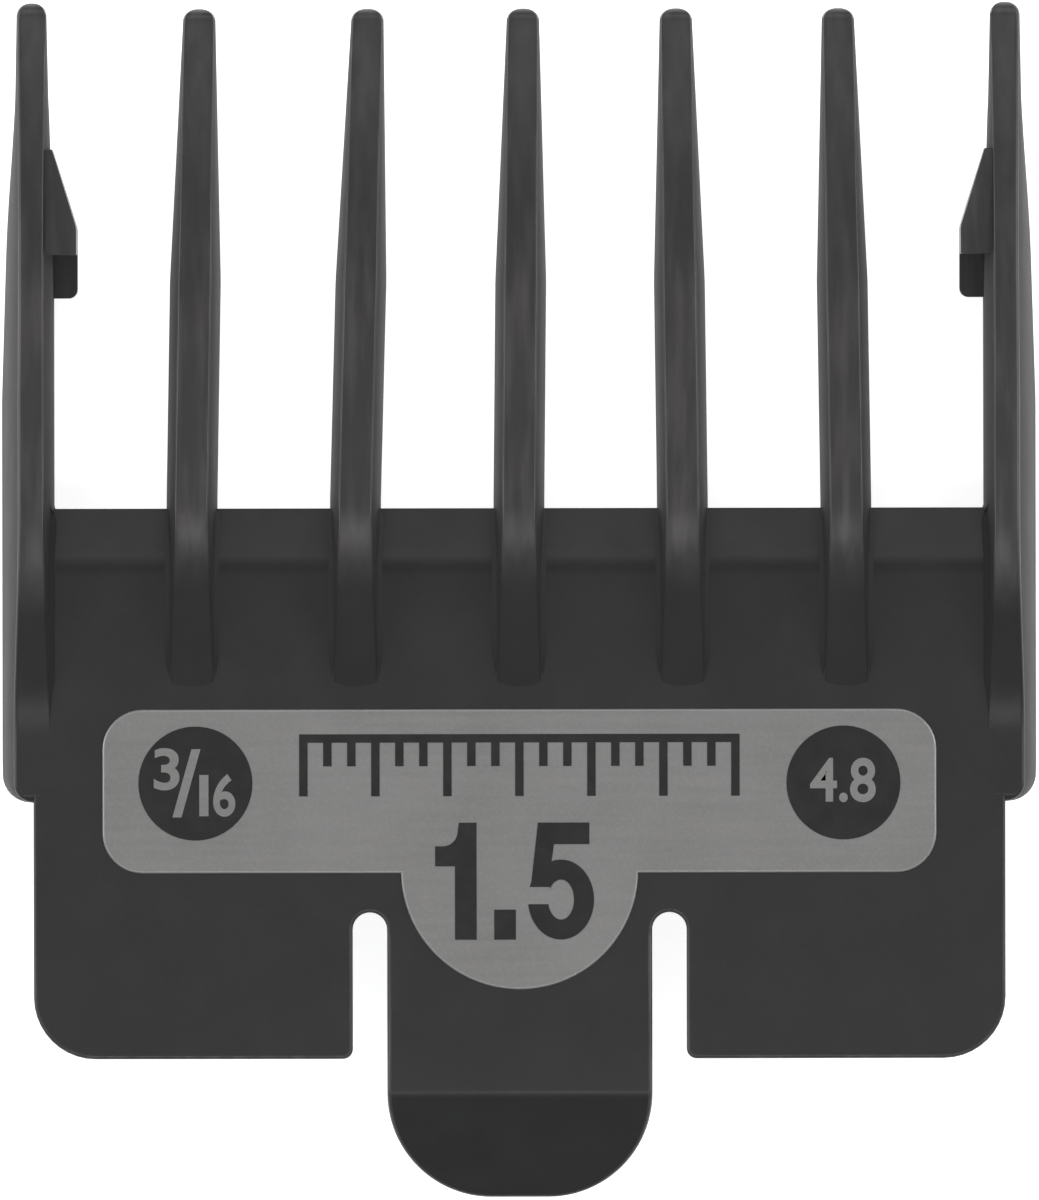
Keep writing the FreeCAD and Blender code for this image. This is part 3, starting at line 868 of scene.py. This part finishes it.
def black_nylon(name, rubbed_and_lit=0.0):
    """Satin black moulded nylon: fine grain, slow flow marks, and a paler colour that is partly wear and
    partly a painted highlight on edges, crests and hooks, with walls painted lighter as a painted fill
    light.
    """
    material, tree, shader = new_material(name)
    grain = noise(tree, 9000, 3.0)
    flow = noise(tree, 110, 5.0, (1.0, 0.35, 1.0))
    cloud = noise(tree, 420, 4.0)
    scuff = noise(tree, 1500, 6.0, (1.0, 0.12, 1.0))
    wear_and_painted_light = add(tree, "ShaderNodeAttribute")
    wear_and_painted_light.attribute_name = "wear_and_painted_light"
    body = mix_colour(tree, ramp(tree, flow.outputs["Fac"], 0, 1, 0.35, 0.68), NYLON_DARK, NYLON_PALE)
    mottle = ramp(tree, cloud.outputs["Fac"], 0, 0.35, 0.45, 0.75)
    mottled = mix_colour(tree, mottle, body, NYLON_MOTTLE)
    # On walls the nylon is painted lighter as a painted fill light, and made rougher
    matt_and_painted_light = maths(tree, "MULTIPLY", wear_and_painted_light.outputs["Fac"], -1.0)
    wall_lightened = mix_colour(tree, matt_and_painted_light, mottled, NYLON_WALL_PAINTED_LIGHT)
    wall_top_lightened = mix_colour(tree, maths(tree, "SUBTRACT", matt_and_painted_light, 1.0), wall_lightened, NYLON_WALL_TOP_PAINTED_LIGHT)
    # Share of the pale colour: wear on rims and tips, wear and a painted highlight on crests, and on the
    # hooks, painted pale all over, rubbing by the blade plus painted light over their shaded pocket
    share = maths(tree, "MAXIMUM", wear_and_painted_light.outputs["Fac"], rubbed_and_lit)
    edge = maths(tree, "MULTIPLY", share, ramp(tree, scuff.outputs["Fac"], 0.2, 0.5, 0.42, 0.7))
    worn_and_lit = mix_colour(tree, edge, wall_top_lightened, NYLON_RUBBED_AND_LIT)
    tree.links.new(worn_and_lit, shader.inputs["Base Color"])
    rough = ramp(tree, cloud.outputs["Fac"], 0.34, 0.40, 0.3, 0.7)
    rubbed_rough = maths(tree, "SUBTRACT", rough, maths(tree, "MULTIPLY", edge, 0.1))
    matt_rough = ramp(tree, matt_and_painted_light, 0.0, 0.6, 0.0, -WALL_TOP_MATT_AND_PAINTED_LIGHT)
    tree.links.new(maths(tree, "ADD", rubbed_rough, matt_rough), shader.inputs["Roughness"])
    shader.inputs["IOR"].default_value = 1.5
    shader.inputs["Specular IOR Level"].default_value = 0.4
    fine = bump(tree, shader, grain.outputs["Fac"], 0.22, 0.00002)
    bump(tree, shader, flow.outputs["Fac"], 0.03, 0.00005, fine)
    return material


def label_foil():
    """Grey satin foil, brushed across, with a fine speckle and a rim painted paler and more metallic,
    partly its cut metal edge and partly a painted highlight.
    """
    material, tree, shader = new_material("label_foil")
    speck = noise(tree, 7000, 3.0)
    brushed = noise(tree, 2600, 4.0, (0.06, 1.0, 1.0))
    cloud = noise(tree, 160, 3.0)
    tone = mix_colour(tree, ramp(tree, cloud.outputs["Fac"], 0, 1, 0.35, 0.65), FOIL_DARK, FOIL_PALE)
    streaks = ramp(tree, brushed.outputs["Fac"], 0, 0.35, 0.4, 0.75)
    streaked = mix_colour(tree, streaks, tone, FOIL_STREAK)
    specks = ramp(tree, speck.outputs["Fac"], 0, 0.2, 0.45, 0.8)
    speckled = mix_colour(tree, specks, streaked, FOIL_SPECK)
    wear_and_painted_light = add(tree, "ShaderNodeAttribute")
    wear_and_painted_light.attribute_name = "wear_and_painted_light"
    # The rim is painted paler and more metallic: partly the foil's cut edge, partly a painted highlight
    rim_highlight = maths(tree, "MULTIPLY", wear_and_painted_light.outputs["Fac"], 0.3)
    rim_highlighted = mix_colour(tree, rim_highlight, speckled, FOIL_RIM_HIGHLIGHT)
    tree.links.new(rim_highlighted, shader.inputs["Base Color"])
    tree.links.new(ramp(tree, rim_highlight, 0.35, 1.0), shader.inputs["Metallic"])
    satin = ramp(tree, brushed.outputs["Fac"], 0.4, 0.56, 0.3, 0.7)
    polish = maths(tree, "MULTIPLY", rim_highlight, 0.2)
    tree.links.new(maths(tree, "SUBTRACT", satin, polish), shader.inputs["Roughness"])
    fine = bump(tree, shader, speck.outputs["Fac"], 0.1, 0.00001)
    bump(tree, shader, brushed.outputs["Fac"], 0.12, 0.00001, fine)
    return material


def label_ink():
    """Matte black print, slightly uneven."""
    material, tree, shader = new_material("label_ink")
    grain = noise(tree, 6000, 4.0)
    patch = noise(tree, 900, 3.0)
    tone = mix_colour(tree, ramp(tree, patch.outputs["Fac"], 0, 1, 0.35, 0.65), INK_DARK, INK_PALE)
    tree.links.new(tone, shader.inputs["Base Color"])
    tree.links.new(ramp(tree, grain.outputs["Fac"], 0.42, 0.58, 0.3, 0.7), shader.inputs["Roughness"])
    shader.inputs["Specular IOR Level"].default_value = 0.3
    bump(tree, shader, grain.outputs["Fac"], 0.12, 0.000008)
    return material


def floor_material():
    """A pale lit table that the part lies on."""
    material, tree, shader = new_material("floor")
    grain = noise(tree, 700, 3.0)
    tone = mix_colour(tree, ramp(tree, grain.outputs["Fac"], 0, 1, 0.3, 0.7), FLOOR_DARK, FLOOR_PALE)
    tree.links.new(tone, shader.inputs["Base Color"])
    shader.inputs["Roughness"].default_value = 0.9
    shader.inputs["Emission Color"].default_value = WHITE
    shader.inputs["Emission Strength"].default_value = 0.8
    return material


# ---------------------------------------------------------------- stage

def area_light(name, place, size, power):
    """A rectangular soft light that faces the part. place and size are in millimetres."""
    data = bpy.data.lights.new(name, "AREA")
    data.shape = "RECTANGLE"
    data.size = size[0] * M
    data.size_y = size[1] * M
    data.energy = power
    obj = bpy.data.objects.new(name, data)
    obj.location = Vector(place) * M
    way = Vector(LIGHT_TARGET) - Vector(place)
    obj.rotation_euler = way.to_track_quat("-Z", "Y").to_euler()
    bpy.context.scene.collection.objects.link(obj)


def stage(floor_look):
    """The floor, lights and surroundings."""
    corners = [
        (-FLOOR_HALF, -FLOOR_HALF, 0), (FLOOR_HALF, -FLOOR_HALF, 0),
        (FLOOR_HALF, FLOOR_HALF, 0), (-FLOOR_HALF, FLOOR_HALF, 0),
    ]
    floor = new_object("floor", corners, [(0, 1, 2, 3)])
    floor.data.materials.append(floor_look)
    for name, place, size, power in LIGHTS:
        area_light(name, place, size, power)
    world = bpy.data.worlds.new("surroundings")
    world.use_nodes = True
    background = world.node_tree.nodes["Background"]
    background.inputs["Color"].default_value = SKY
    background.inputs["Strength"].default_value = 0.5
    bpy.context.scene.world = world
    bpy.context.scene.view_settings.view_transform = "Standard"


def camera():
    """A very long lens straight above the part, which fills its frame."""
    data = bpy.data.cameras.new("camera")
    data.lens = LENS
    data.sensor_width = SENSOR
    data.clip_end = 10
    distance = data.lens / data.sensor_width * FRAME_HEIGHT
    obj = bpy.data.objects.new("camera", data)
    obj.location = Vector((CAMERA_X, 0, PLATE_TOP + distance)) * M
    obj.rotation_euler = (0, 0, CAMERA_ROLL)
    bpy.context.scene.collection.objects.link(obj)
    bpy.context.scene.camera = obj


# ---------------------------------------------------------------- assembly

def dress(obj, material, body=None, stands_for=()):
    """Gives a piece its material and the body it rides on, and hides the CAD nodes it stands for."""
    obj.data.materials.clear()
    obj.data.materials.append(material)
    if body:
        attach(obj, body)
    if stands_for:
        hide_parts(*stands_for)


def main():
    nylon = black_nylon("black_nylon")
    # Hooks are painted paler all over, partly as rubbing by the blade and partly as painted light over the
    # shade in their pocket
    rubbed_lit_nylon = black_nylon("rubbed_lit_nylon", 1.0)
    foil = label_foil()
    ink = label_ink()
    dress(plate_piece(), nylon, "comb", ["base_plate"])
    for name in ("left_tooth_1", "left_tooth_2", "middle_tooth", "right_tooth_1", "right_tooth_2"):
        dress(tooth_piece(name), nylon, "comb", [name])
    for side in ("left", "right"):
        stands_for = [side + "_outer_tooth", side + "_cheek_wall"]
        dress(rail_piece(side), nylon, "comb", stands_for)
        dress(softened(side + "_front_hook", HOOK_SOFT_R), rubbed_lit_nylon)
    tongue = tongue_piece()
    dress(tongue, nylon, None, ["tongue_root", "spring_tongue", "thumb_tab"])
    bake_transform(tongue)
    dress(softened("latch_barb", BARB_SOFT_R), nylon)
    dress(label_piece(), foil, "comb", ["label"])
    for name in ("left_size_disc", "right_size_disc", "size_number", "scale_marks"):
        dress(frame["nodes"][name], ink)
    dress(disc_figures("left", FRACTION), foil, "comb")
    dress(disc_figures("right", DECIMAL), foil, "comb")
    stage(floor_material())
    camera()


main()
